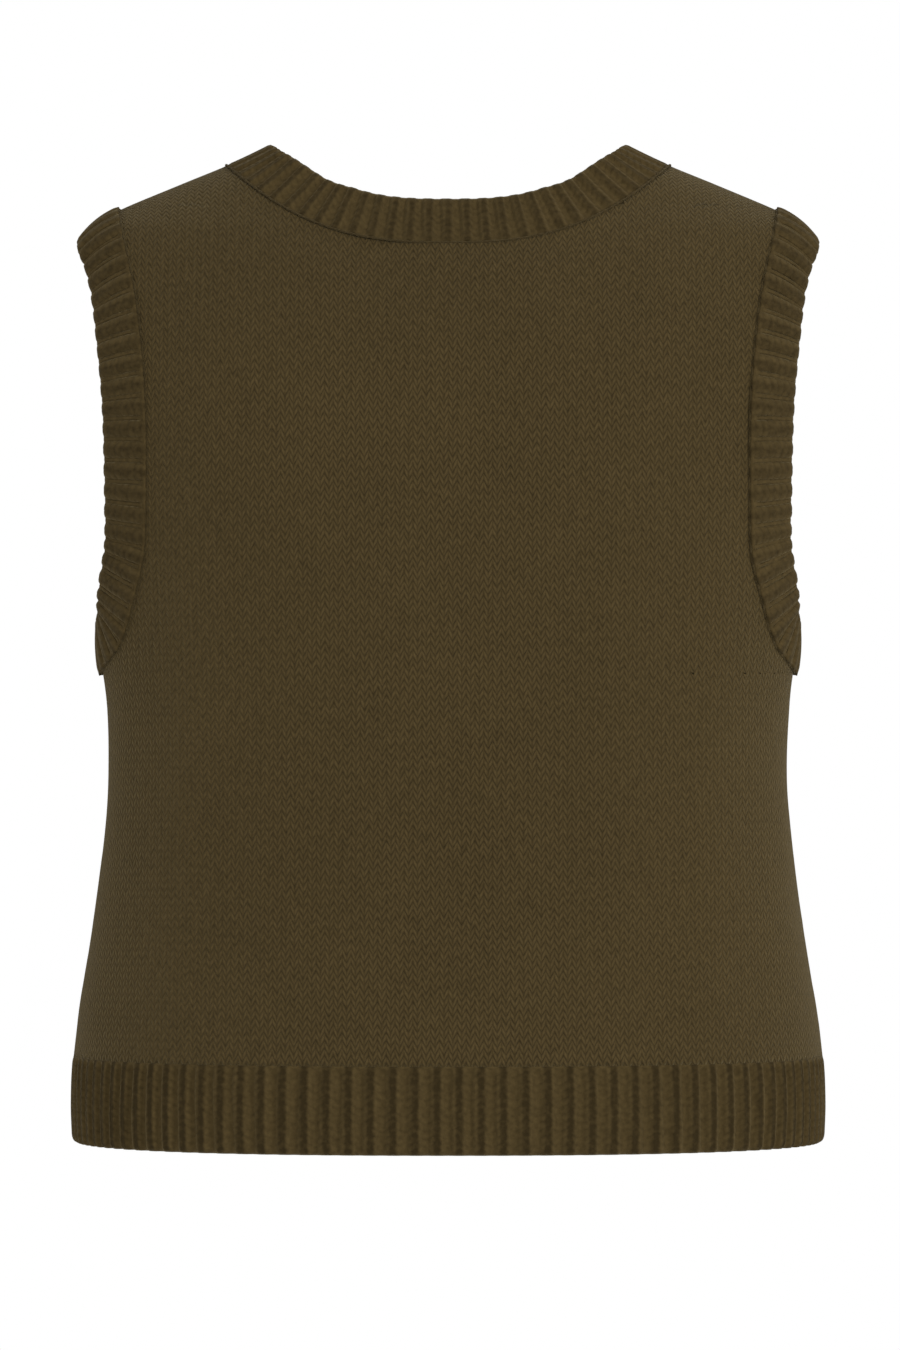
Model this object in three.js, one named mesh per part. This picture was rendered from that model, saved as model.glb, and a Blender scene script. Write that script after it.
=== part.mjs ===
// Sleeveless open-front cardigan in chunky knit, standing open and hollow as it does when it is worn.
// Millimetres, +Z up, front towards -Y, the wearer's left towards +X.
// The origin lies between the two neck points, level with them, where the shoulders hold the garment up.
//
// Every panel lies on one smooth torso form, made of level rings. A place on the form is a turn (0 at
// centre back, a quarter turn at the side line, a half turn at centre front, negative on the wearer's
// right) and a height z. The outer face of the cloth is the form and its thickness goes inwards.
import * as THREE from "three";

// ---- driving sizes ----
const CLOTH = 2.6; // thickness of the plain knit
const RIB = 3.0; // thickness of the ribbed bands and hems
const GAP = 0.3; // clearance at every seam
const HEM_Z = -521; // lower edge of the ribbed hem
const HEM_SEAM_Z = -475; // top of the ribbed hem
const NECK_RIB = { width: 27.5, curl: -0.08, topCurl: -0.08 }; // neck and front band: bends in radians
const ARM_RIB = { width: 27.6, curl: 0.28, topCurl: 0.6 }; // armhole bands: bends in towards the arm
const CURL_Z = { from: -110, to: -25 }; // heights between which curl turns into topCurl
const NECK_HALF = 118.5; // half distance between the neck points, where the neck seam crosses the shoulder
const NECK_DROP = 46; // how far the neck seam dips at centre back
const NECK_CURVE = 2.65; // power of the back neck curve
const VEE_Z = -232; // where the front neck turns into the straight front edge
const VEE_CURVE = 1.22; // power of the front neck curve
const FRONT_GAP = 4; // half opening between the front edges at the bottom of the vee
const FRONT_SPREAD = 8; // how much wider that half opening is at the hem

// The form: half width, depth behind and before the side line, and squareness of the ring at each height.
const FORM = [
  { z: -521, half: 200.5, back: 110, front: 112, square: 2.35 },
  { z: -500, half: 201.2, back: 109, front: 111, square: 2.35 },
  { z: -475, half: 200.0, back: 107, front: 110, square: 2.35 },
  { z: -425, half: 193.0, back: 100, front: 106, square: 2.3 },
  { z: -382, half: 186.7, back: 94, front: 103, square: 2.3 },
  { z: -339, half: 182.4, back: 90, front: 103, square: 2.3 },
  { z: -317, half: 181.6, back: 89, front: 105, square: 2.3 },
  { z: -296, half: 182.2, back: 90, front: 108, square: 2.3 },
  { z: -275, half: 184.3, back: 91, front: 111, square: 2.32 },
  { z: -253, half: 188.5, back: 93, front: 114, square: 2.35 },
  { z: -200, half: 201.0, back: 99, front: 117, square: 2.4 },
  { z: -150, half: 210.0, back: 102, front: 111, square: 2.45 },
  { z: -100, half: 214.0, back: 97.5, front: 96, square: 2.45 },
  { z: -60, half: 212.5, back: 84.5, front: 80, square: 2.4 },
  { z: -38, half: 206.0, back: 73.5, front: 69, square: 2.3 },
  { z: -23.6, half: 175.2, back: 65.8, front: 60.8, square: 2.2 },
  { z: -10, half: 143.0, back: 60, front: 55, square: 2.15 },
  { z: 0, half: 118.5, back: 56, front: 50.5, square: 2.1 },
  { z: 13, half: 90.0, back: 51, front: 45, square: 2.1 },
];

// The armhole seam: half width between the two armholes at each height, behind and in front. Its lowest
// and highest points lie on the side line and on the shoulder.
const ARMHOLE = [
  { z: -272, back: 186, front: 186 },
  { z: -259, back: 174.3, front: 171 },
  { z: -250, back: 169.8, front: 164.5 },
  { z: -233, back: 164.9, front: 157 },
  { z: -212, back: 159.4, front: 151 },
  { z: -196, back: 158.0, front: 149 },
  { z: -145, back: 157.5, front: 148 },
  { z: -110, back: 159.2, front: 151 },
  { z: -75, back: 163.5, front: 157.5 },
  { z: -57, back: 167.2, front: 163 },
  { z: -40, back: 171.3, front: 169 },
  { z: -23.6, back: 175.4, front: 175.4 },
];
const ARM_LOW_Z = ARMHOLE[0].z;
const ARM_TOP_Z = ARMHOLE[ARMHOLE.length - 1].z;

// ---- how finely each piece is divided ----
const SIDE_ROWS = 8; // rows from the hem to the underarm
const ARM_ROWS = 16; // rows up the armhole
const SHOULDER_ROWS = 4; // rows along the shoulder seam
const BACK_COLUMNS = 28;
const FRONT_COLUMNS = 12;
const SIDE_CROWD = 1.35; // how much closer together the columns are towards the side, where it bends most
const HEM_ROWS = 2;
const BAND_COLUMNS = 2;

// ---- the form ----
// A column of a table at any height, on a smooth curve through its rows.
function columnAt(table, z, name) {
  let i = 0;
  while (i < table.length - 2 && table[i + 1].z < z) i++;
  const slope = (row) => {
    const low = table[Math.max(row - 1, 0)];
    const high = table[Math.min(row + 1, table.length - 1)];
    return (high[name] - low[name]) / (high.z - low.z);
  };
  const step = table[i + 1].z - table[i].z;
  const t = (z - table[i].z) / step;
  const rise = table[i + 1][name] - table[i][name];
  const start = slope(i) * step;
  const end = slope(i + 1) * step;
  return table[i][name] + t * (start + t * (3 * rise - 2 * start - end + t * (end + start - 2 * rise)));
}

const formValue = (z, name) => columnAt(FORM, z, name);

function formPoint(turn, z) {
  const across = Math.sin(turn);
  const along = Math.cos(turn);
  const square = formValue(z, "square");
  const reach = (Math.abs(across) ** square + Math.abs(along) ** square) ** (-1 / square);
  const depth = formValue(z, along > 0 ? "back" : "front");
  return new THREE.Vector3(formValue(z, "half") * reach * across, depth * reach * along, z);
}

// Unit normal of the form, pointing out of the garment.
function formNormal(turn, z) {
  const step = 1e-3;
  const round = formPoint(turn + step, z).sub(formPoint(turn - step, z));
  const up = formPoint(turn, z + step).sub(formPoint(turn, z - step));
  return up.cross(round).normalize();
}

// The turn at which the form has half width x, on its back or front half.
function turnAt(x, z, face) {
  const square = formValue(z, "square");
  const share = Math.min(x / formValue(z, "half"), 1);
  const turn = Math.atan2(share, (1 - share ** square) ** (1 / square));
  return face === "back" ? turn : Math.PI - turn;
}

// ---- the seam lines ----
// The turn of the side and shoulder seams, half a seam gap short of the side line.
const sideTurn = (z, face) => Math.PI / 2 - GAP / 2 / formValue(z, face);

// The turn of a panel's outer edge on the back, and its mirror on the front: the side and shoulder seams,
// and the armhole's curve between them.
function outerTurn(z, face) {
  if (z <= ARM_LOW_Z || z >= ARM_TOP_Z) return sideTurn(z, face);
  return Math.min(sideTurn(z, face), turnAt(columnAt(ARMHOLE, z, face), z, "back"));
}

// Half width of the seam between a front panel and its band, below the vee.
function frontSeamX(z) {
  const down = Math.max(VEE_Z - z, 0) / (VEE_Z - HEM_Z);
  return FRONT_GAP + FRONT_SPREAD * down + NECK_RIB.width + GAP;
}

// Half width of the neck seam in front, from the front edge up to the neck point.
function frontNeckX(z) {
  const up = Math.max(z - VEE_Z, 0) / -VEE_Z;
  return frontSeamX(z) + (NECK_HALF - frontSeamX(VEE_Z)) * up ** VEE_CURVE;
}

const backNeckZ = (x) => NECK_DROP * ((Math.abs(x) / NECK_HALF) ** NECK_CURVE - 1);

// ---- places on the panels ----
// u runs from centre back (0) to the side (1) on the back, and from the front edge (0) to the side (1)
// on a front. The armhole pushes the back's outer columns in more than its middle ones.
function backPlace(u, z) {
  const cut = sideTurn(z, "back") - outerTurn(z, "back");
  return { turn: u * sideTurn(z, "back") - cut * u ** 1.5, z };
}

function frontPlace(u, z) {
  const inner = turnAt(frontSeamX(z), z, "front");
  return { turn: inner + (Math.PI - outerTurn(z, "front") - inner) * u, z };
}

// How high column u of the back reaches before it meets the neck seam.
function backTop(u) {
  let low = -NECK_DROP;
  let high = 0;
  for (let i = 0; i < 40; i++) {
    const z = (low + high) / 2;
    if (z < backNeckZ(formPoint(backPlace(u, z).turn, z).x)) low = z;
    else high = z;
  }
  return low;
}

// Heights of a panel's rows at its side edge, closest together at the two ends of the armhole.
const PANEL_Z = HEM_SEAM_Z + GAP / 2;
function sideLevels() {
  const levels = [];
  for (let i = 0; i < SIDE_ROWS; i++) levels.push(PANEL_Z + ((ARM_LOW_Z - PANEL_Z) * i) / SIDE_ROWS);
  for (let i = 0; i < ARM_ROWS; i++) {
    const share = (1 - Math.cos((Math.PI * i) / ARM_ROWS)) / 2;
    levels.push(ARM_LOW_Z + (ARM_TOP_Z - ARM_LOW_Z) * share);
  }
  for (let i = 0; i <= SHOULDER_ROWS; i++) levels.push(ARM_TOP_Z * (1 - i / SHOULDER_ROWS));
  return levels;
}

// Rows of the back: level at the hem, and following the neck seam at the top.
function backPlaces() {
  return sideLevels().map((level) =>
    backColumns.map((u) => {
      const z = PANEL_Z + ((backTop(Math.abs(u)) - PANEL_Z) * (level - PANEL_Z)) / -PANEL_Z;
      return { turn: backPlace(Math.abs(u), z).turn * Math.sign(u), z };
    }),
  );
}

// Rows of a front: each runs from the front edge or the vee out to the side, and the last one is the
// shoulder seam.
function frontPlaces(side) {
  const levels = sideLevels().slice(0, SIDE_ROWS + ARM_ROWS + 1);
  return levels.map((level) => {
    const innerZ = PANEL_Z + ((level - PANEL_Z) * PANEL_Z) / (PANEL_Z - ARM_TOP_Z);
    const outer = Math.PI - outerTurn(level, "front");
    const inner = Math.max(turnAt(frontNeckX(innerZ), innerZ, "front"), Math.PI - outerTurn(0, "front"));
    return frontColumns.map((u) => ({
      turn: (inner + (outer - inner) * u) * side,
      z: innerZ + (level - innerZ) * u,
    }));
  });
}

// Rows of a hem, under the columns of its panel. side is 0 on the back, whose columns have their own sign.
function hemPlaces(columns, placeOf, side) {
  return spaced(HEM_ROWS, HEM_Z, HEM_SEAM_Z - GAP / 2).map((z) =>
    columns.map((u) => ({ turn: placeOf(Math.abs(u), z).turn * (side || Math.sign(u)), z })),
  );
}

const spaced = (count, from, to) =>
  Array.from({ length: count + 1 }, (_, i) => from + ((to - from) * i) / count);
const crowded = (t) => Math.sign(t) * (1 - (1 - Math.abs(t)) ** SIDE_CROWD);
const backColumns = spaced(BACK_COLUMNS, -1, 1).map(crowded);
const frontColumns = spaced(FRONT_COLUMNS, 0, 1).map(crowded);

// ---- walls of cloth ----
// A skin point is where the outer face of the cloth is and which way it faces.
const skin = (place) => ({
  at: formPoint(place.turn, place.z),
  out: formNormal(place.turn, place.z),
});

// A closed wall through a grid of skin points: outer face, inner face and the rim that joins them.
// A looped grid's last row joins its first.
function wall(rows, thickness, looped = false) {
  const across = rows[0].length;
  const positions = [];
  for (const depth of [0, thickness])
    for (const row of rows)
      for (const point of row) positions.push(...point.at.clone().addScaledVector(point.out, -depth));
  const inner = rows.length * across;
  const index = [];
  const point = (i) => new THREE.Vector3().fromArray(positions, 3 * i);
  const quad = (a, b, c, d) => {
    const short = point(a).distanceTo(point(c)) < point(b).distanceTo(point(d));
    index.push(...(short ? [a, b, c, a, c, d] : [b, c, d, b, d, a]));
  };
  const last = looped ? rows.length : rows.length - 1;
  const id = (row, column) => (row % rows.length) * across + column;
  for (let i = 0; i < last; i++) {
    for (let j = 0; j < across - 1; j++) {
      const [a, b, c, d] = [id(i, j), id(i, j + 1), id(i + 1, j + 1), id(i + 1, j)];
      quad(a, b, c, d);
      quad(inner + d, inner + c, inner + b, inner + a);
    }
    const end = across - 1;
    quad(id(i + 1, 0), inner + id(i + 1, 0), inner + id(i, 0), id(i, 0));
    quad(id(i, end), inner + id(i, end), inner + id(i + 1, end), id(i + 1, end));
  }
  for (let j = 0; !looped && j < across - 1; j++) {
    const end = rows.length - 1;
    quad(id(0, j), inner + id(0, j), inner + id(0, j + 1), id(0, j + 1));
    quad(id(end, j + 1), inner + id(end, j + 1), inner + id(end, j), id(end, j));
  }
  return outwards(positions, index);
}

// A geometry whose faces point out of it, whichever way its grid runs.
function outwards(positions, index) {
  const point = (i) => new THREE.Vector3().fromArray(positions, 3 * i);
  let volume = 0;
  for (let i = 0; i < index.length; i += 3)
    volume += point(index[i]).dot(point(index[i + 1]).cross(point(index[i + 2])));
  if (volume < 0) index.reverse();
  const geometry = new THREE.BufferGeometry();
  geometry.setAttribute("position", new THREE.Float32BufferAttribute(positions, 3));
  geometry.setIndex(index);
  geometry.computeVertexNormals();
  return geometry;
}

// ---- bands ----
const between = (a, b) => ({
  at: a.at.clone().lerp(b.at, 0.5),
  out: a.out.clone().add(b.out).normalize(),
});

// A band stands on the edge of the panels: each point of the seam is moved out of the panel, first by the
// seam gap and then by steps to the band's full width, along an arc that bends inwards by the curl.
// inside is +1 or -1, the side of the seam on which the band lies.
function bandRows(seam, inside, rib, looped) {
  const count = seam.length;
  return seam.map((point, i) => {
    const next = looped ? seam[(i + 1) % count] : seam[Math.min(i + 1, count - 1)];
    const before = looped ? seam[(i + count - 1) % count] : seam[Math.max(i - 1, 0)];
    const along = next.at.clone().sub(before.at).normalize();
    const away = along.cross(point.out).normalize().multiplyScalar(inside);
    const rise = THREE.MathUtils.smoothstep(point.at.z, CURL_Z.from, CURL_Z.to);
    const curl = rib.curl + (rib.topCurl - rib.curl) * rise;
    const radius = rib.width / curl;
    return spaced(BAND_COLUMNS, 0, curl).map((bend) => ({
      at: point.at
        .clone()
        .addScaledVector(away, GAP + radius * Math.sin(bend))
        .addScaledVector(point.out, radius * (Math.cos(bend) - 1)),
      out: point.out.clone().multiplyScalar(Math.cos(bend)).addScaledVector(away, Math.sin(bend)),
    }));
  });
}

// The neck and front band is level with the hem at both ends.
function levelEnds(rows) {
  for (const row of [rows[0], rows[rows.length - 1]]) for (const point of row) point.at.z = HEM_Z;
  return rows;
}

const column = (grid, j) => grid.map((row) => row[j]);
const lastColumn = (grid) => column(grid, grid[0].length - 1);
const lastRow = (grid) => grid[grid.length - 1];

// ---- the pieces ----
const skins = (places) => places.map((row) => row.map(skin));
const grids = {
  back_panel: skins(backPlaces()),
  front_panel_left: skins(frontPlaces(1)),
  front_panel_right: skins(frontPlaces(-1)),
  hem_back: skins(hemPlaces(backColumns, backPlace, 0)),
  hem_front_left: skins(hemPlaces(frontColumns, frontPlace, 1)),
  hem_front_right: skins(hemPlaces(frontColumns, frontPlace, -1)),
};

// Seam of the neck and front band on one side, from the hem up the front edge and the vee.
function frontSeam(hem, panel) {
  const hemEdge = column(hem, 0);
  const panelEdge = column(panel, 0);
  const join = between(hemEdge[HEM_ROWS], panelEdge[0]);
  return [...hemEdge.slice(0, -1), join, ...panelEdge.slice(1)];
}

// Up the left front, round the back neck and down the right front.
function neckSeam() {
  const left = frontSeam(grids.hem_front_left, grids.front_panel_left);
  const right = frontSeam(grids.hem_front_right, grids.front_panel_right).reverse();
  const back = [...lastRow(grids.back_panel)].reverse();
  return [
    ...left.slice(0, -1),
    between(left[left.length - 1], back[0]),
    ...back.slice(1, -1),
    between(back[back.length - 1], right[0]),
    ...right.slice(1),
  ];
}

// Once round the armhole: up the back edge from the underarm and down the front edge.
function armSeam(backEdge, frontEdge) {
  const low = SIDE_ROWS;
  const high = SIDE_ROWS + ARM_ROWS;
  return [
    between(backEdge[low], frontEdge[low]),
    ...backEdge.slice(low + 1, high),
    between(backEdge[high], frontEdge[high]),
    ...frontEdge.slice(low + 1, high).reverse(),
  ];
}

const leftArm = armSeam(lastColumn(grids.back_panel), lastColumn(grids.front_panel_left));
const rightArm = armSeam(column(grids.back_panel, 0), lastColumn(grids.front_panel_right));

const knit = { color: 0x4a3d27, roughness: 0.95, metalness: 0 };
const ribKnit = { color: 0x463a25, roughness: 0.95, metalness: 0 };

function piece(name, geometry, finish) {
  const mesh = new THREE.Mesh(geometry, new THREE.MeshStandardMaterial(finish));
  mesh.name = name;
  return mesh;
}

const cardigan = new THREE.Group();
for (const name of ["back_panel", "front_panel_left", "front_panel_right"])
  cardigan.add(piece(name, wall(grids[name], CLOTH), knit));
for (const name of ["hem_back", "hem_front_left", "hem_front_right"])
  cardigan.add(piece(name, wall(grids[name], RIB), ribKnit));
const neckBand = levelEnds(bandRows(neckSeam(), -1, NECK_RIB, false));
cardigan.add(piece("neck_front_band", wall(neckBand, RIB), ribKnit));
cardigan.add(piece("armband_left", wall(bandRows(leftArm, -1, ARM_RIB, true), RIB, true), ribKnit));
cardigan.add(piece("armband_right", wall(bandRows(rightArm, 1, ARM_RIB, true), RIB, true), ribKnit));

export default cardigan;
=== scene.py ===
import bpy
import numpy as np
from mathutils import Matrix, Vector


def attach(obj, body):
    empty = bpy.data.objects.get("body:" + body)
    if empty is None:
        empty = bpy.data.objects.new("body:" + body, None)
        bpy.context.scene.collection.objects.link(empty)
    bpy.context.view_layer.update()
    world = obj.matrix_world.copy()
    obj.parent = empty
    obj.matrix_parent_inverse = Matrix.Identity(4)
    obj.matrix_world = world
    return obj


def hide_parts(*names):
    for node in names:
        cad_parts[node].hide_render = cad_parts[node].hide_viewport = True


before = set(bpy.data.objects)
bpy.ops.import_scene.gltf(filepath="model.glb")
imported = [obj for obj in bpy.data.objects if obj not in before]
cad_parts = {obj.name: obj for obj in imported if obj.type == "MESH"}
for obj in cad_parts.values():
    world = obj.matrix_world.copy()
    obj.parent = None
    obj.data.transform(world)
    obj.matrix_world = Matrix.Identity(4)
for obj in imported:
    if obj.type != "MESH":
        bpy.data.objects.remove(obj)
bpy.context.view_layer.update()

mm = 0.001

# What a user would change on the whole garment, in millimetres
garment = {
    "cloth": 2.2,  # thickness of the plain knit
    "ribCloth": 2.0,  # thickness of the ribbed cloth
    "hemZ": -521.0,
    "hemSeamZ": -475.0,
    "neckHalf": 118.5,
    "neckDrop": 46.0,
    "neckCurve": 2.65,
    "veeZ": -232.0,
    "veeCurve": 1.22,
    "frontGap": 4.0,
    "frontSpread": 8.0,
    "neckBand": 27.5,
    "neckBend": (-0.08, -0.08),  # bend of the band in radians, low down and at the shoulder
    "armBand": 27.6,
    "armBend": (0.28, 0.6),
    "seamGap": 0.3,
}

# The torso form, one level ring a row: height, half width, depth behind, depth in front, squareness
formRows = np.array([
    (-521, 200.5, 110, 112, 2.35),
    (-500, 201.2, 109, 111, 2.35),
    (-475, 200.0, 107, 110, 2.35),
    (-425, 193.0, 100, 106, 2.3),
    (-382, 186.7, 94, 103, 2.3),
    (-339, 182.4, 90, 103, 2.3),
    (-317, 181.6, 89, 105, 2.3),
    (-296, 182.2, 90, 108, 2.3),
    (-275, 184.3, 91, 111, 2.32),
    (-253, 188.5, 93, 114, 2.35),
    (-200, 201.0, 99, 117, 2.4),
    (-150, 210.0, 102, 111, 2.45),
    (-100, 214.0, 97.5, 96, 2.45),
    (-60, 212.5, 84.5, 80, 2.4),
    (-38, 206.0, 73.5, 69, 2.3),
    (-23.6, 175.2, 65.8, 60.8, 2.2),
    (-10, 143.0, 60, 55, 2.15),
    (0, 118.5, 56, 50.5, 2.1),
    (13, 90.0, 51, 45, 2.1),
])
halfWidth, depthBack, depthFront, squareness = 1, 2, 3, 4

# The armhole seam: height, half width behind, half width in front
armholeRows = np.array([
    (-272, 186, 186),
    (-259, 174.3, 171),
    (-250, 169.8, 164.5),
    (-233, 164.9, 157),
    (-212, 159.4, 151),
    (-196, 158.0, 149),
    (-145, 157.5, 148),
    (-110, 159.2, 151),
    (-75, 163.5, 157.5),
    (-57, 167.2, 163),
    (-40, 171.3, 169),
    (-23.6, 175.4, 175.4),
])
armLow, armTop = armholeRows[0, 0], armholeRows[-1, 0]
panelZ = garment["hemSeamZ"]


# A column of a table at any height, on a smooth curve through its rows
def tableAt(table, z, column):
    zs, vs = table[:, 0], table[:, column]
    z = np.asarray(z, float)
    i = np.clip(np.searchsorted(zs, z) - 1, 0, len(zs) - 2)
    low = np.maximum(np.arange(len(zs)) - 1, 0)
    high = np.minimum(np.arange(len(zs)) + 1, len(zs) - 1)
    slope = (vs[high] - vs[low]) / (zs[high] - zs[low])
    step = zs[i + 1] - zs[i]
    t = (z - zs[i]) / step
    rise = vs[i + 1] - vs[i]
    start, end = slope[i] * step, slope[i + 1] * step
    return vs[i] + t * (start + t * (3 * rise - 2 * start - end + t * (end + start - 2 * rise)))


def formPoint(turn, z):
    turn, z = np.broadcast_arrays(np.asarray(turn, float), np.asarray(z, float))
    across, along = np.sin(turn), np.cos(turn)
    square = tableAt(formRows, z, squareness)
    reach = (np.abs(across) ** square + np.abs(along) ** square) ** (-1 / square)
    depth = np.where(along > 0, tableAt(formRows, z, depthBack), tableAt(formRows, z, depthFront))
    return np.stack([tableAt(formRows, z, halfWidth) * reach * across, depth * reach * along, z], -1)


def formNormal(turn, z):
    step = 1e-3
    round_ = formPoint(turn + step, z) - formPoint(turn - step, z)
    up = formPoint(turn, z + step) - formPoint(turn, z - step)
    out = np.cross(up, round_)
    return out / np.linalg.norm(out, axis=-1, keepdims=True)


def turnAt(x, z, back=True):
    square = tableAt(formRows, z, squareness)
    share = np.minimum(x / tableAt(formRows, z, halfWidth), 1)
    turn = np.arctan2(share, (1 - share**square) ** (1 / square))
    return turn if back else np.pi - turn


def sideTurn(z, back, gap):
    return np.pi / 2 - gap / 2 / tableAt(formRows, z, depthBack if back else depthFront)


def outerTurn(z, back, gap=0.3):
    z = np.asarray(z, float)
    cut = turnAt(tableAt(armholeRows, np.clip(z, armLow, armTop), 1 if back else 2), z)
    inArm = (z > armLow) & (z < armTop)
    return np.where(inArm, np.minimum(sideTurn(z, back, gap), cut), sideTurn(z, back, gap))


def frontSeamX(z):
    g = garment
    down = np.maximum(g["veeZ"] - z, 0) / (g["veeZ"] - g["hemZ"])
    return g["frontGap"] + g["frontSpread"] * down + g["neckBand"] + g["seamGap"]


def frontNeckX(z):
    g = garment
    up = np.maximum(z - g["veeZ"], 0) / -g["veeZ"]
    return frontSeamX(z) + (g["neckHalf"] - frontSeamX(g["veeZ"])) * up ** g["veeCurve"]


def backNeckZ(x):
    g = garment
    return g["neckDrop"] * ((np.abs(x) / g["neckHalf"]) ** g["neckCurve"] - 1)


def backTurn(u, z):
    whole = sideTurn(z, True, 0.3)
    return u * whole - (whole - outerTurn(z, True)) * u**1.5


def backTop(u):
    low, high = np.full_like(u, -garment["neckDrop"]), np.zeros_like(u)
    for _ in range(40):
        z = (low + high) / 2
        below = z < backNeckZ(formPoint(backTurn(u, z), z)[..., 0])
        low, high = np.where(below, z, low), np.where(below, high, z)
    return low


# Heights of a panel's rows at its side edge, closest together at the ends of the armhole
def sideLevels(sideRows, armRows, shoulderRows):
    side = panelZ + (armLow - panelZ) * np.arange(sideRows) / sideRows
    arm = armLow + (armTop - armLow) * (1 - np.cos(np.pi * np.arange(armRows) / armRows)) / 2
    shoulder = armTop * (1 - np.arange(shoulderRows + 1) / shoulderRows)
    return np.concatenate([side, arm, shoulder])


# Outer columns are closer together, where the cloth bends most
def crowded(t):
    return np.sign(t) * (1 - (1 - np.abs(t)) ** 1.35)


def backPlaces(columns, levels):
    u = crowded(np.linspace(-1, 1, columns + 1))
    top = backTop(np.abs(u))
    share = (levels - panelZ) / -panelZ
    z = panelZ + (top[None, :] - panelZ) * share[:, None]
    return backTurn(np.abs(u)[None, :], z) * np.sign(u)[None, :], z


def frontPlaces(columns, levels, side):
    u = crowded(np.linspace(0, 1, columns + 1))[None, :]
    innerZ = panelZ + (levels - panelZ) * panelZ / (panelZ - armTop)
    outer = np.pi - outerTurn(levels, False)
    inner = np.maximum(turnAt(frontNeckX(innerZ), innerZ, False), np.pi - sideTurn(0, False, 0.3))
    turn = inner[:, None] + (outer - inner)[:, None] * u
    return turn * side, innerZ[:, None] + (levels - innerZ)[:, None] * u


def hemPlaces(columns, rows, side):
    z = np.linspace(garment["hemZ"], panelZ, rows + 1)[:, None]
    if side == 0:
        u = np.linspace(-1, 1, columns + 1)[None, :]
        return u * sideTurn(z, True, 0.3), z + 0 * u
    u = np.linspace(0, 1, columns + 1)[None, :]
    inner = turnAt(frontSeamX(z), z, False)
    return (inner + (np.pi - sideTurn(z, False, 0.3) - inner) * u) * side, z + 0 * u


# Knitting coordinates: columns count round the body, rows count up the cloth
ruler = {
    "straightZ": -180.0,  # above this height the columns stand straight
    "turns": 721,
    "levels": 35,
    "reach": 205,  # farthest the cloth lies from the middle
    "across": 83,
    "steps": 301,
    "ridgeRows": 8,  # rows of the form from the neck down to its widest
}
ringTurns = np.linspace(0, np.pi, ruler["turns"])


# Distance round a level ring from centre back, at the height where the columns stand straight above
def roundLength(point, z):
    flatZ = np.minimum(z, ruler["straightZ"])
    levels = np.linspace(garment["hemZ"], ruler["straightZ"], ruler["levels"])
    ring = formPoint(ringTurns[None, :], levels[:, None])
    steps = np.linalg.norm(np.diff(ring, axis=1), axis=-1)
    length = np.concatenate([np.zeros((len(levels), 1)), np.cumsum(steps, 1)], 1)
    x, back = np.abs(point[..., 0]), point[..., 1] > 0
    turn = np.where(back, turnAt(x, flatZ, True), turnAt(x, flatZ, False))
    row = (flatZ - levels[0]) / (levels[1] - levels[0])
    col = turn / ringTurns[1]
    return bilinear(length, row, col) * np.sign(point[..., 0])


# Distance up the cloth from the hem seam, at the same place across the body
def upLength(point, z):
    low = garment["hemZ"]
    xs = np.linspace(0, ruler["reach"], ruler["across"])
    ts = np.linspace(0, 1, ruler["steps"])
    ridge = formRows[::-1][: ruler["ridgeRows"]]
    ridgeZ = np.interp(xs, ridge[:, halfWidth], ridge[:, 0])
    heights = ridgeZ[:, None] - (ridgeZ[:, None] - low) * (1 - ts[None, :]) ** 2
    tables = []
    for back in (True, False):
        y = np.abs(formPoint(turnAt(xs[:, None], heights, back), heights)[..., 1])
        steps = np.hypot(np.diff(y, axis=1), np.diff(heights, axis=1))
        tables.append(np.concatenate([np.zeros((len(xs), 1)), np.cumsum(steps, 1)], 1))
    x = np.clip(np.abs(point[..., 0]), 0, ruler["reach"] - 0.1)
    row = x / xs[1]
    top = np.interp(x, xs, ridgeZ)
    col = (1 - np.sqrt(np.clip((top - z) / (top - low), 0, 1))) / ts[1]
    return np.where(point[..., 1] > 0, bilinear(tables[0], row, col), bilinear(tables[1], row, col))


# A table read between its rows and columns
def bilinear(table, row, col):
    row = np.clip(row, 0, table.shape[0] - 1.001)
    col = np.clip(col, 0, table.shape[1] - 1.001)
    i, j = row.astype(int), col.astype(int)
    a, b = row - i, col - j
    low = table[i, j] * (1 - b) + table[i, j + 1] * b
    high = table[i + 1, j] * (1 - b) + table[i + 1, j + 1] * b
    return low * (1 - a) + high * a


# A grid is laid on its points, gets its knitting coordinates, and then its thickness inwards
def makeSheet(name, points, outs, u, v, thickness, looped=False):
    rows, cols = points.shape[:2]
    bpy.ops.object.select_all(action="DESELECT")
    bpy.ops.mesh.primitive_grid_add(x_subdivisions=cols - 1, y_subdivisions=rows - 1, size=1)
    sheet = bpy.context.active_object
    sheet.name = sheet.data.name = name
    mesh = sheet.data
    mesh.vertices.foreach_set("co", (points.reshape(-1, 3) * mm).ravel())
    corner = np.zeros(len(mesh.loops), dtype=int)
    mesh.loops.foreach_get("vertex_index", corner)
    knitUv = np.stack([u.ravel(), v.ravel()], -1)[corner] * mm
    mesh.uv_layers.active.name = "knitUv"
    mesh.uv_layers["knitUv"].data.foreach_set("uv", knitUv.ravel())
    mesh.update()
    normal = mesh.polygons[len(mesh.polygons) // 2].normal
    middle = mesh.polygons[len(mesh.polygons) // 2].vertices[0]
    out = Vector(outs.reshape(-1, 3)[middle])
    bpy.ops.object.mode_set(mode="EDIT")
    bpy.ops.mesh.select_all(action="SELECT")
    if normal.dot(out) < 0:
        bpy.ops.mesh.flip_normals()
    if looped:
        bpy.ops.mesh.remove_doubles(threshold=0.00001)
    bpy.ops.object.mode_set(mode="OBJECT")
    wall = sheet.modifiers.new("thickness", "SOLIDIFY")
    wall.thickness = thickness * mm
    wall.offset = -1
    wall.use_even_offset = False
    bpy.ops.object.modifier_apply(modifier=wall.name)
    bpy.ops.object.shade_smooth()
    return sheet


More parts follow.
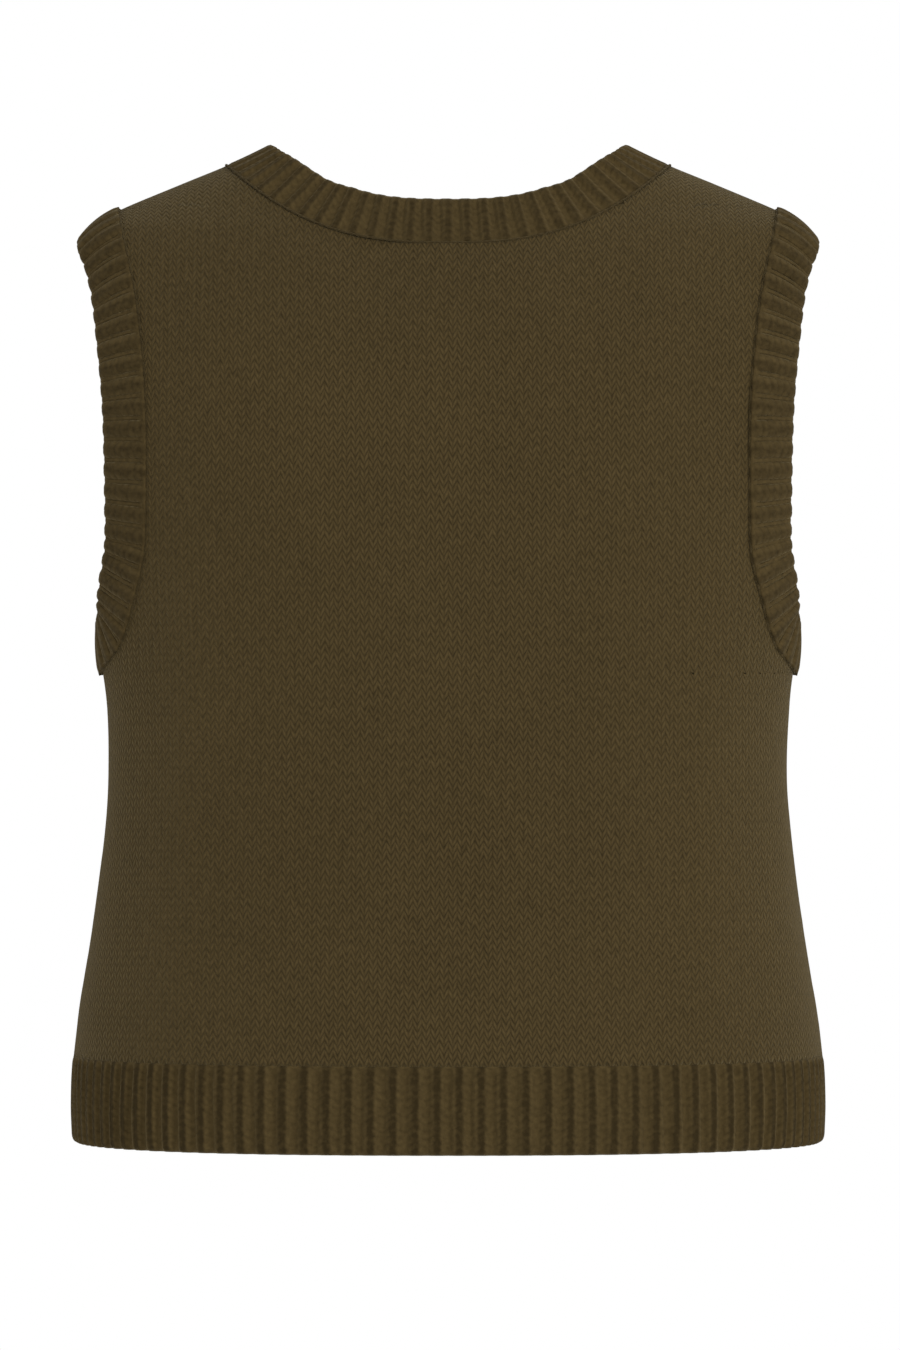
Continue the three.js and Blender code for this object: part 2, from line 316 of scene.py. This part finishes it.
def smoothStep(t):
    t = np.clip(t, 0, 1)
    return t * t * (3 - 2 * t)


ribShape = {"steep": 2.3, "split": 0.2, "splitWidth": 0.05, "stripWidth": 0.075}


# Height of a rib across one repeat: a broad knit column, faintly split, and a valley with a thin strip in it
def ribProfile(phase, broad, strip):
    near = (phase + 0.5) % 1 - 0.5
    ridge = np.tanh(ribShape["steep"] * (np.cos(2 * np.pi * phase) + broad))
    split = ribShape["split"] * np.exp(-((near / ribShape["splitWidth"]) ** 2))
    return ridge - split + strip * np.exp(-(((0.5 - np.abs(near)) / ribShape["stripWidth"]) ** 2))


# Gentle unevenness of hand-knitted cloth, from a few waves
def unevenness(u, v, size, seed):
    waves = 7
    rng = np.random.default_rng(seed)
    total = np.zeros_like(u)
    for _ in range(waves):
        a, b = rng.normal(size=2) / size
        total += np.sin(a * u + b * v + rng.uniform(0, 6.28))
    return total / waves**0.5


# The drop from the form to the rounded lower edge, growing from 0 to its full depth as share goes to 1
def rounded(share, depth):
    return depth * (1 - np.sqrt(np.clip(1 - share**2, 0, 1)))


hem = {
    "pitch": 9.1,  # one rib and its valley
    "height": 1.2,
    "level": -0.75,
    "broad": 0.3,
    "columnsPerRib": 12,
    "rows": 44,
    "ramp": 3.5,  # distance in which the ribs grow out of the plain knit
    "tuck": 4.5,  # height of the rounded lower edge
    "tuckDepth": 2.6,
    "wander": 0.05,
    "wanderSize": 14,
    "seed": 5,
    "backLength": 503.0,
    "frontLength": 223.0,
}


def hemSheet(name, side, reach):
    pitchCount = round(reach / hem["pitch"])
    columns = pitchCount * hem["columnsPerRib"]
    turn, z = hemPlaces(columns, hem["rows"], side)
    points, outs = formPoint(turn, z), formNormal(turn, z)
    phase = np.linspace(0, pitchCount, columns + 1)[None, :] + 0 * z
    up = z - garment["hemZ"]
    wander = hem["wander"] * unevenness(phase * hem["pitch"], up, hem["wanderSize"], hem["seed"])
    strength = smoothStep((panelZ - z) / hem["ramp"])
    lift = hem["height"] * ribProfile(phase + wander * strength, hem["broad"], 0) + hem["level"]
    tuck = np.clip(1 - up / hem["tuck"], 0, 1)
    lift = lift * strength - rounded(tuck, hem["tuckDepth"])
    surface = points + outs * lift[..., None]
    return makeSheet(name, surface, outs, phase * hem["pitch"], up, garment["ribCloth"])


panel = {
    "columns": 190,
    "frontColumns": 92,
    "sideRows": 60,
    "armRows": 110,
    "shoulderRows": 16,
    "wave": 0.5,  # unevenness of the cloth, fading out at the hem and the neck
    "waveSize": 30,
    "fadeLow": 30,
    "fadeHigh": 60,
    "seed": 3,
}


def panelSheet(name, side):
    levels = sideLevels(panel["sideRows"], panel["armRows"], panel["shoulderRows"])
    if side == 0:
        turn, z = backPlaces(panel["columns"], levels)
    else:
        levels = levels[: panel["sideRows"] + panel["armRows"] + 1]
        turn, z = frontPlaces(panel["frontColumns"], levels, side)
    points, outs = formPoint(turn, z), formNormal(turn, z)
    u, v = roundLength(points, z), upLength(points, z)
    fade = smoothStep((z - panelZ) / panel["fadeLow"]) * smoothStep(-z / panel["fadeHigh"])
    lift = panel["wave"] * unevenness(u, v, panel["waveSize"], panel["seed"]) * fade
    return makeSheet(name, points + outs * lift[..., None], outs, u, v, garment["cloth"])


def seamLine(turn, z):
    return formPoint(turn, z), formNormal(turn, z)


# Evenly spaced places along a seam, with their outward directions and the seam's length
def resample(points, outs, count, looped):
    if looped:
        points, outs = np.vstack([points, points[:1]]), np.vstack([outs, outs[:1]])
    steps = np.linalg.norm(np.diff(points, axis=0), axis=-1)
    length = np.concatenate([[0], np.cumsum(steps)])
    at = np.linspace(0, length[-1], count + 1)
    points = np.stack([np.interp(at, length, points[:, k]) for k in range(3)], -1)
    outs = np.stack([np.interp(at, length, outs[:, k]) for k in range(3)], -1)
    return points, outs / np.linalg.norm(outs, axis=-1, keepdims=True), length[-1]


band = {
    "height": 1.0,
    "level": -0.5,
    "columnsPerRib": 14,
    "rows": 18,
    "clear": 0.12,  # gap left at the seam
    "bendFrom": -110,  # heights over which the low bend turns into the high one
    "bendOver": 85,
    "smoothing": 19,  # columns over which the seam's corners are rounded
    "wander": 0.06,
    "wanderSize": 16,
    "seed": 11,
    "seamRamp": 2.5,  # distance in which the ribs rise from the seam
    "edgeShare": 0.35,  # how much of them is left at the free edge
    "edgeRoll": 3.0,
    "edgeDepth": 1.9,
}
ribKinds = {
    "neck": {"pitch": 10.2, "broad": 0.15, "strip": 0.35},
    "arm": {"pitch": 11.6, "broad": 0.05, "strip": 0.5},
}


# A band stands on a seam line and bends a little as it leaves it
def bandSurface(points, outs, inside, width, bend, kind, looped):
    pitch = kind["pitch"]
    length = resample(points, outs, 1, looped)[2]
    ribs = round(length / pitch)
    columns = ribs * band["columnsPerRib"]
    points, outs, _ = resample(points, outs, columns, looped)
    along = np.gradient(points, axis=0)
    if looped:
        along[0] = along[-1] = points[1] - points[-2]
    # corners of the seam are rounded a little before the band is turned out from it
    kernel = np.hanning(band["smoothing"])
    kernel /= kernel.sum()
    pad = band["smoothing"] // 2
    if looped:
        source = np.vstack([along[-pad - 1 : -1], along, along[1 : pad + 1]])
    else:
        source = np.pad(along, ((pad, pad), (0, 0)), "edge")
    along = np.stack([np.convolve(source[:, k], kernel, "valid") for k in range(3)], -1)
    away = np.cross(along, outs)
    away *= inside / np.linalg.norm(away, axis=-1, keepdims=True)
    w = np.linspace(0, 1, band["rows"] + 1)[:, None, None]
    rise = smoothStep((points[:, 2] - band["bendFrom"]) / band["bendOver"])
    curl = (bend[0] + (bend[1] - bend[0]) * rise)[None, :, None]
    angle = curl * w
    radius = width / curl
    spot = points[None] + away[None] * (band["clear"] + radius * np.sin(angle))
    spot = spot + outs[None] * radius * (np.cos(angle) - 1)
    face = outs[None] * np.cos(angle) + away[None] * np.sin(angle)
    phase = np.linspace(0, ribs, columns + 1)[None, :] + 0 * w[..., 0]
    reach = width * w[..., 0] + 0 * phase
    wander = band["wander"] * unevenness(phase * pitch, reach, band["wanderSize"], band["seed"])
    if looped:
        wander *= 1 - np.exp(-((np.minimum(phase, ribs - phase) / 1.5) ** 2))
    share, roll = band["edgeShare"], band["edgeRoll"]
    strength = smoothStep(reach / band["seamRamp"])
    strength = strength * (share + (1 - share) * smoothStep((width - reach) / roll))
    edge = np.clip(1 - (width - reach) / roll, 0, 1)
    profile = ribProfile(phase + wander, kind["broad"], kind["strip"])
    lift = (band["height"] * profile + band["level"]) * strength - rounded(edge, band["edgeDepth"])
    return spot + face * lift[..., None], face, phase * pitch, reach


linking = {
    "radius": 0.75,
    "rise": 0.35,
    "armRise": 0.15,
    "spacing": 4.2,  # length of one stitch
    "swell": 0.18,
    "step": 0.8,
    "sides": 8,
}


# The skin of a line of linking stitches, swelling at each stitch as it runs along a seam
def seamCord(points, outs, rise):
    count = int(np.linalg.norm(np.diff(points, axis=0), axis=-1).sum() / linking["step"])
    line, out, length = resample(points, outs, count, False)
    along = np.gradient(line, axis=0)
    along /= np.linalg.norm(along, axis=-1, keepdims=True)
    side = np.cross(along, out)
    at = np.linspace(0, length, count + 1)
    wave = np.cos(2 * np.pi * at / linking["spacing"])
    swell = linking["radius"] * (1 - linking["swell"] + linking["swell"] * wave)
    around = np.linspace(0, 2 * np.pi, linking["sides"] + 1)[None, :, None]
    spoke = out[:, None] * np.sin(around) + side[:, None] * np.cos(around)
    return line[:, None] + spoke * swell[:, None, None] + out[:, None] * rise


def addCord(sheet, points, outs, rise):
    ring = seamCord(points, outs, rise)
    rows, cols = ring.shape[:2]
    bpy.ops.object.select_all(action="DESELECT")
    bpy.ops.mesh.primitive_grid_add(x_subdivisions=cols - 1, y_subdivisions=rows - 1, size=1)
    cord = bpy.context.active_object
    mesh = cord.data
    mesh.vertices.foreach_set("co", (ring.reshape(-1, 3) * mm).ravel())
    mesh.uv_layers.active.name = "knitUv"
    bpy.ops.object.mode_set(mode="EDIT")
    bpy.ops.mesh.select_all(action="SELECT")
    bpy.ops.mesh.remove_doubles(threshold=0.00001)
    bpy.ops.mesh.fill_holes(sides=0)
    bpy.ops.mesh.normals_make_consistent(inside=False)
    bpy.ops.object.mode_set(mode="OBJECT")
    bpy.ops.object.shade_smooth()
    sheet.select_set(True)
    cord.select_set(True)
    bpy.context.view_layer.objects.active = sheet
    bpy.ops.object.join()


# The left half of the neck and front seam, from the hem up to the neck point
def leftFrontSeam():
    hemRows, panelRows = 30, 260
    hemZs = np.linspace(garment["hemZ"], panelZ, hemRows)[:-1]
    zs = np.concatenate([hemZs, np.linspace(panelZ, 0, panelRows)])
    turn = np.maximum(turnAt(frontNeckX(zs), zs, False), np.pi / 2)
    return seamLine(turn, zs)


def backNeckSeam():
    u = np.linspace(1, -1, 241)
    z = backTop(np.abs(crowded(u)))
    return seamLine(backTurn(np.abs(crowded(u)), z) * np.sign(u), z)


def neckSeam():
    leftPoints, leftOuts = leftFrontSeam()
    backPoints, backOuts = backNeckSeam()
    mirror = np.array([-1, 1, 1])
    points = np.vstack([leftPoints[:-1], backPoints, (leftPoints * mirror)[::-1][1:]])
    outs = np.vstack([leftOuts[:-1], backOuts, (leftOuts * mirror)[::-1][1:]])
    return points, outs


# Once round an armhole: up the back edge from the underarm and down the front edge
def armSeam(side):
    rows = 120
    share = (1 - np.cos(np.pi * np.arange(rows + 1) / rows)) / 2
    z = armLow + (armTop - armLow) * share
    back = outerTurn(z, True, 0)
    front = np.pi - outerTurn(z, False, 0)
    turn = np.concatenate([back, front[::-1][1:-1]]) * side
    return seamLine(turn, np.concatenate([z, z[::-1][1:-1]]))


def addNode(tree, kind, at, **values):
    node = tree.nodes.new(kind)
    node.location = at
    for key, value in values.items():
        setattr(node, key, value)
    return node


def calc(tree, operation, a, b=None, c=None, at=(0, 0), clamp=False):
    node = addNode(tree, "ShaderNodeMath", at, operation=operation, use_clamp=clamp)
    for i, value in enumerate((a, b, c)):
        if value is None:
            continue
        if isinstance(value, (int, float)):
            node.inputs[i].default_value = value
        else:
            tree.links.new(value, node.inputs[i])
    return node.outputs[0]


# Stitch height and shade for plain knit: each column is a row of Vs, legs meeting at the bottom
def buildKnitStitch():
    tree = bpy.data.node_groups.new("knitStitch", "ShaderNodeTree")
    face = tree.interface
    face.new_socket("Position", in_out="INPUT", socket_type="NodeSocketVector")
    inputs = {"Column Width": 0.0046, "Row Height": 0.004, "Slant": 0.9, "Wander": 0.0004}
    for label, value in inputs.items():
        face.new_socket(label, in_out="INPUT", socket_type="NodeSocketFloat").default_value = value
    for label in ("Height", "Outward"):
        face.new_socket(label, in_out="OUTPUT", socket_type="NodeSocketFloat")
    start = addNode(tree, "NodeGroupInput", (-1200, 0))
    end = addNode(tree, "NodeGroupOutput", (1000, 0))
    noise = addNode(tree, "ShaderNodeTexNoise", (-1000, -300))
    noise.inputs["Scale"].default_value = 160
    noise.inputs["Detail"].default_value = 2
    tree.links.new(start.outputs["Position"], noise.inputs["Vector"])
    split = addNode(tree, "ShaderNodeSeparateXYZ", (-1000, 0))
    tree.links.new(start.outputs["Position"], split.inputs[0])
    shake = addNode(tree, "ShaderNodeSeparateColor", (-800, -300))
    tree.links.new(noise.outputs["Color"], shake.inputs[0])
    driftU = calc(tree, "MULTIPLY", calc(tree, "SUBTRACT", shake.outputs[0], 0.5), start.outputs["Wander"])
    driftV = calc(tree, "MULTIPLY", calc(tree, "SUBTRACT", shake.outputs[1], 0.5), start.outputs["Wander"])
    column = calc(tree, "DIVIDE", calc(tree, "ADD", split.outputs[0], driftU), start.outputs["Column Width"])
    row = calc(tree, "DIVIDE", calc(tree, "ADD", split.outputs[1], driftV), start.outputs["Row Height"])
    across = calc(tree, "ABSOLUTE", calc(tree, "SUBTRACT", calc(tree, "FRACT", column), 0.5))
    outward = calc(tree, "MULTIPLY", across, 2)
    drop = calc(tree, "MULTIPLY", outward, start.outputs["Slant"])
    leg = calc(tree, "FRACT", calc(tree, "SUBTRACT", row, drop))
    rope = calc(tree, "SINE", calc(tree, "MULTIPLY", leg, 3.1416))
    bow = calc(tree, "SINE", calc(tree, "MULTIPLY", outward, 3.1416))
    body = calc(tree, "MULTIPLY_ADD", bow, 0.45, 0.55)
    height = calc(tree, "MULTIPLY", calc(tree, "POWER", rope, 0.6), body)
    tree.links.new(height, end.inputs["Height"])
    tree.links.new(outward, end.inputs["Outward"])
    return tree


# Soft loose fibres and the marl of the yarn
def buildYarnFuzz():
    tree = bpy.data.node_groups.new("yarnFuzz", "ShaderNodeTree")
    face = tree.interface
    face.new_socket("Position", in_out="INPUT", socket_type="NodeSocketVector")
    for label in ("Fibre", "Marl", "Patch"):
        face.new_socket(label, in_out="OUTPUT", socket_type="NodeSocketFloat")
    start = addNode(tree, "NodeGroupInput", (-800, 0))
    end = addNode(tree, "NodeGroupOutput", (400, 0))
    for label, scale, detail in (("Fibre", 2600, 3), ("Marl", 420, 3), ("Patch", 9, 2)):
        noise = addNode(tree, "ShaderNodeTexNoise", (-400, 0))
        noise.inputs["Scale"].default_value = scale
        noise.inputs["Detail"].default_value = detail
        tree.links.new(start.outputs["Position"], noise.inputs["Vector"])
        tree.links.new(noise.outputs["Fac"], end.inputs[label])
    return tree


knitStitch = buildKnitStitch()
yarnFuzz = buildYarnFuzz()

# yarn colour range; its dark end also carries the painted shade of stitch gaps and rib valleys
bodyYarnAndShade = {"dark": (0.036, 0.0232, 0.0058), "light": (0.116, 0.079, 0.0285)}
ribYarnAndShade = {"dark": (0.030, 0.0190, 0.0045), "light": (0.112, 0.076, 0.0270)}
# stitch sets how strongly the stitch relief is painted into the colour as painted shade; bump sets the real
# relief
bodyLook = {**bodyYarnAndShade, "row": 0.0040, "slant": 0.95, "stitch": 0.5, "bump": 0.0015}
ribLook = {**ribYarnAndShade, "row": 0.0040, "slant": 0.8, "stitch": 0.12, "bump": 0.0004}
# the valley amount is painted shade: how much darker the rib valleys are coloured
knitLooks = {
    "bodyKnit": {**bodyLook, "column": 0.0046, "valleyShade": 0},
    "hemKnit": {**ribLook, "column": 0.0091, "valleyShade": 0.5},
    "neckKnit": {**ribLook, "column": 0.0102, "valleyShade": 0.35},
    "armKnit": {**ribLook, "column": 0.0116, "valleyShade": 0.3},
}


def knitMaterial(name, look):
    material = bpy.data.materials.new(name)
    material.use_nodes = True
    tree = material.node_tree
    shader = tree.nodes["Principled BSDF"]
    shader.inputs["Roughness"].default_value = 0.92
    shader.inputs["Specular IOR Level"].default_value = 0.18
    shader.inputs["Sheen Weight"].default_value = 0.26
    shader.inputs["Sheen Roughness"].default_value = 0.4
    shader.inputs["Sheen Tint"].default_value = (0.62, 0.50, 0.26, 1)
    place = addNode(tree, "ShaderNodeUVMap", (-1400, 100), uv_map="knitUv")
    stitch = addNode(tree, "ShaderNodeGroup", (-1100, 100), node_tree=knitStitch)
    stitch.inputs["Column Width"].default_value = look["column"]
    stitch.inputs["Row Height"].default_value = look["row"]
    stitch.inputs["Slant"].default_value = look["slant"]
    tree.links.new(place.outputs[0], stitch.inputs["Position"])
    where = addNode(tree, "ShaderNodeTexCoord", (-1400, -300))
    fuzz = addNode(tree, "ShaderNodeGroup", (-1100, -300), node_tree=yarnFuzz)
    tree.links.new(where.outputs["Object"], fuzz.inputs["Position"])
    shade = calc(tree, "MULTIPLY_ADD", fuzz.outputs["Marl"], 0.85, -0.12, at=(-800, -200))
    # painted shade: the raised stitch legs are coloured lighter and the gaps between them darker
    shade = calc(tree, "MULTIPLY_ADD", stitch.outputs["Height"], look["stitch"], shade, at=(-650, -100))
    shade = calc(tree, "MULTIPLY_ADD", fuzz.outputs["Patch"], 0.25, shade, at=(-500, -100))
    # painted shade: the rib valleys are coloured darker, their centre lying a half column away from the
    # ridge
    valleyShade = addNode(tree, "ShaderNodeMapRange", (-800, -400), interpolation_type="SMOOTHSTEP")
    valleyShade.inputs["From Min"].default_value = 0.45
    valleyShade.inputs["From Max"].default_value = 0.85
    valleyShade.inputs["To Max"].default_value = look["valleyShade"]
    tree.links.new(stitch.outputs["Outward"], valleyShade.inputs["Value"])
    # an offset that keeps the mean tone once the painted stitch and valley shade are added
    level = 0.1 + 0.35 * look["stitch"] - (0.18 if look["valleyShade"] else 0)
    shade = calc(tree, "SUBTRACT", shade, level, at=(-420, -100))
    shade = calc(tree, "SUBTRACT", shade, valleyShade.outputs[0], at=(-360, -100), clamp=True)
    mix = addNode(tree, "ShaderNodeMix", (-300, 100), data_type="RGBA")
    mix.inputs[6].default_value = (*look["dark"], 1)
    mix.inputs[7].default_value = (*look["light"], 1)
    tree.links.new(shade, mix.inputs[0])
    tree.links.new(mix.outputs[2], shader.inputs["Base Color"])
    relief = stitch.outputs["Height"]
    for label, across in (("Fibre", -650), ("Marl", -500)):
        relief = calc(tree, "MULTIPLY_ADD", fuzz.outputs[label], 0.35, relief, at=(across, -400))
    bump = addNode(tree, "ShaderNodeBump", (-250, -300))
    bump.inputs["Strength"].default_value = 0.75
    bump.inputs["Distance"].default_value = look["bump"]
    tree.links.new(relief, bump.inputs["Height"])
    tree.links.new(bump.outputs[0], shader.inputs["Normal"])
    return material


finishes = {name: knitMaterial(name, look) for name, look in knitLooks.items()}


camera = {"place": (-0.001, 3.4, -0.272), "lens": 169.5}
bpy.ops.object.camera_add(location=camera["place"], rotation=(np.pi / 2, 0, np.pi))
eye = bpy.context.active_object
eye.data.lens = camera["lens"]
eye.data.sensor_width = 36
bpy.context.scene.camera = eye
print("camera placed")


def settle(piece, node, finish):
    piece.data.materials.clear()
    piece.data.materials.append(finishes[finish])
    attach(piece, "root")
    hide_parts(node)
    print("made", piece.name, len(piece.data.polygons), "faces")


backKnit = panelSheet("backKnit", 0)
settle(backKnit, "back_panel", "bodyKnit")
for side, word in ((1, "left"), (-1, "right")):
    piece = panelSheet("frontKnit." + word, side)
    settle(piece, "front_panel_" + word, "bodyKnit")

hemBack = hemSheet("hemRib.back", 0, hem["backLength"])
settle(hemBack, "hem_back", "hemKnit")
for side, word in ((1, "left"), (-1, "right")):
    piece = hemSheet("hemRib." + word, side, hem["frontLength"])
    settle(piece, "hem_front_" + word, "hemKnit")

seamPoints, seamOuts = neckSeam()
surface, face, u, v = bandSurface(
    seamPoints, seamOuts, -1, garment["neckBand"], garment["neckBend"], ribKinds["neck"], False
)
surface[:, 0, 2] = surface[:, -1, 2] = garment["hemZ"]
neckRib = makeSheet("neckRib", surface, face, u, v, garment["ribCloth"])
addCord(neckRib, seamPoints[2:-2], seamOuts[2:-2], linking["rise"])
settle(neckRib, "neck_front_band", "neckKnit")

for side, word in ((1, "left"), (-1, "right")):
    seamPoints, seamOuts = armSeam(side)
    surface, face, u, v = bandSurface(
        seamPoints, seamOuts, -side, garment["armBand"], garment["armBend"], ribKinds["arm"], True
    )
    piece = makeSheet("armRib." + word, surface, face, u, v, garment["ribCloth"], looped=True)
    ringPoints = np.vstack([seamPoints, seamPoints[:1]])
    ringOuts = np.vstack([seamOuts, seamOuts[:1]])
    addCord(piece, ringPoints, ringOuts, linking["armRise"])
    settle(piece, "armband_" + word, "armKnit")

bpy.ops.object.select_all(action="DESELECT")
bpy.ops.mesh.primitive_circle_add(vertices=96, radius=1.6, fill_type="NGON", location=(0, 0, -1.25))
floor = bpy.context.active_object
floor.name = "floor"
paper = bpy.data.materials.new("floorPaper")
paper.use_nodes = True
paper.node_tree.nodes["Principled BSDF"].inputs["Base Color"].default_value = (0.86, 0.86, 0.85, 1)
paper.node_tree.nodes["Principled BSDF"].inputs["Roughness"].default_value = 0.9
floor.data.materials.append(paper)

studio = {"surround": 0.62, "backdrop": 1.0}
lamps = {
    "keyLamp": {"place": (-2.2, 2.3, 0.5), "size": 1.2, "power": 38},
    "fillLamp": {"place": (2.2, 2.4, -0.1), "size": 1.6, "power": 9},
}
world = bpy.data.worlds.new("studio")
bpy.context.scene.world = world
world.use_nodes = True
tree = world.node_tree
shine = tree.nodes["Background"]
shine.inputs[0].default_value = (1, 1, 1, 1)
path = addNode(tree, "ShaderNodeLightPath", (-500, 0))
level = addNode(tree, "ShaderNodeMapRange", (-250, 0))
level.inputs["To Min"].default_value = studio["surround"]
level.inputs["To Max"].default_value = studio["backdrop"]
tree.links.new(path.outputs["Is Camera Ray"], level.inputs["Value"])
tree.links.new(level.outputs[0], shine.inputs[1])
for name, lamp in lamps.items():
    bpy.ops.object.light_add(type="AREA", location=lamp["place"])
    light = bpy.context.active_object
    light.name = name
    light.data.shape = "DISK"
    light.data.size = lamp["size"]
    light.data.energy = lamp["power"]
    aim = Vector((0, 0, -0.27)) - Vector(lamp["place"])
    light.rotation_euler = aim.to_track_quat("-Z", "Y").to_euler()
bpy.context.scene.view_settings.view_transform = "Standard"
print("lit")
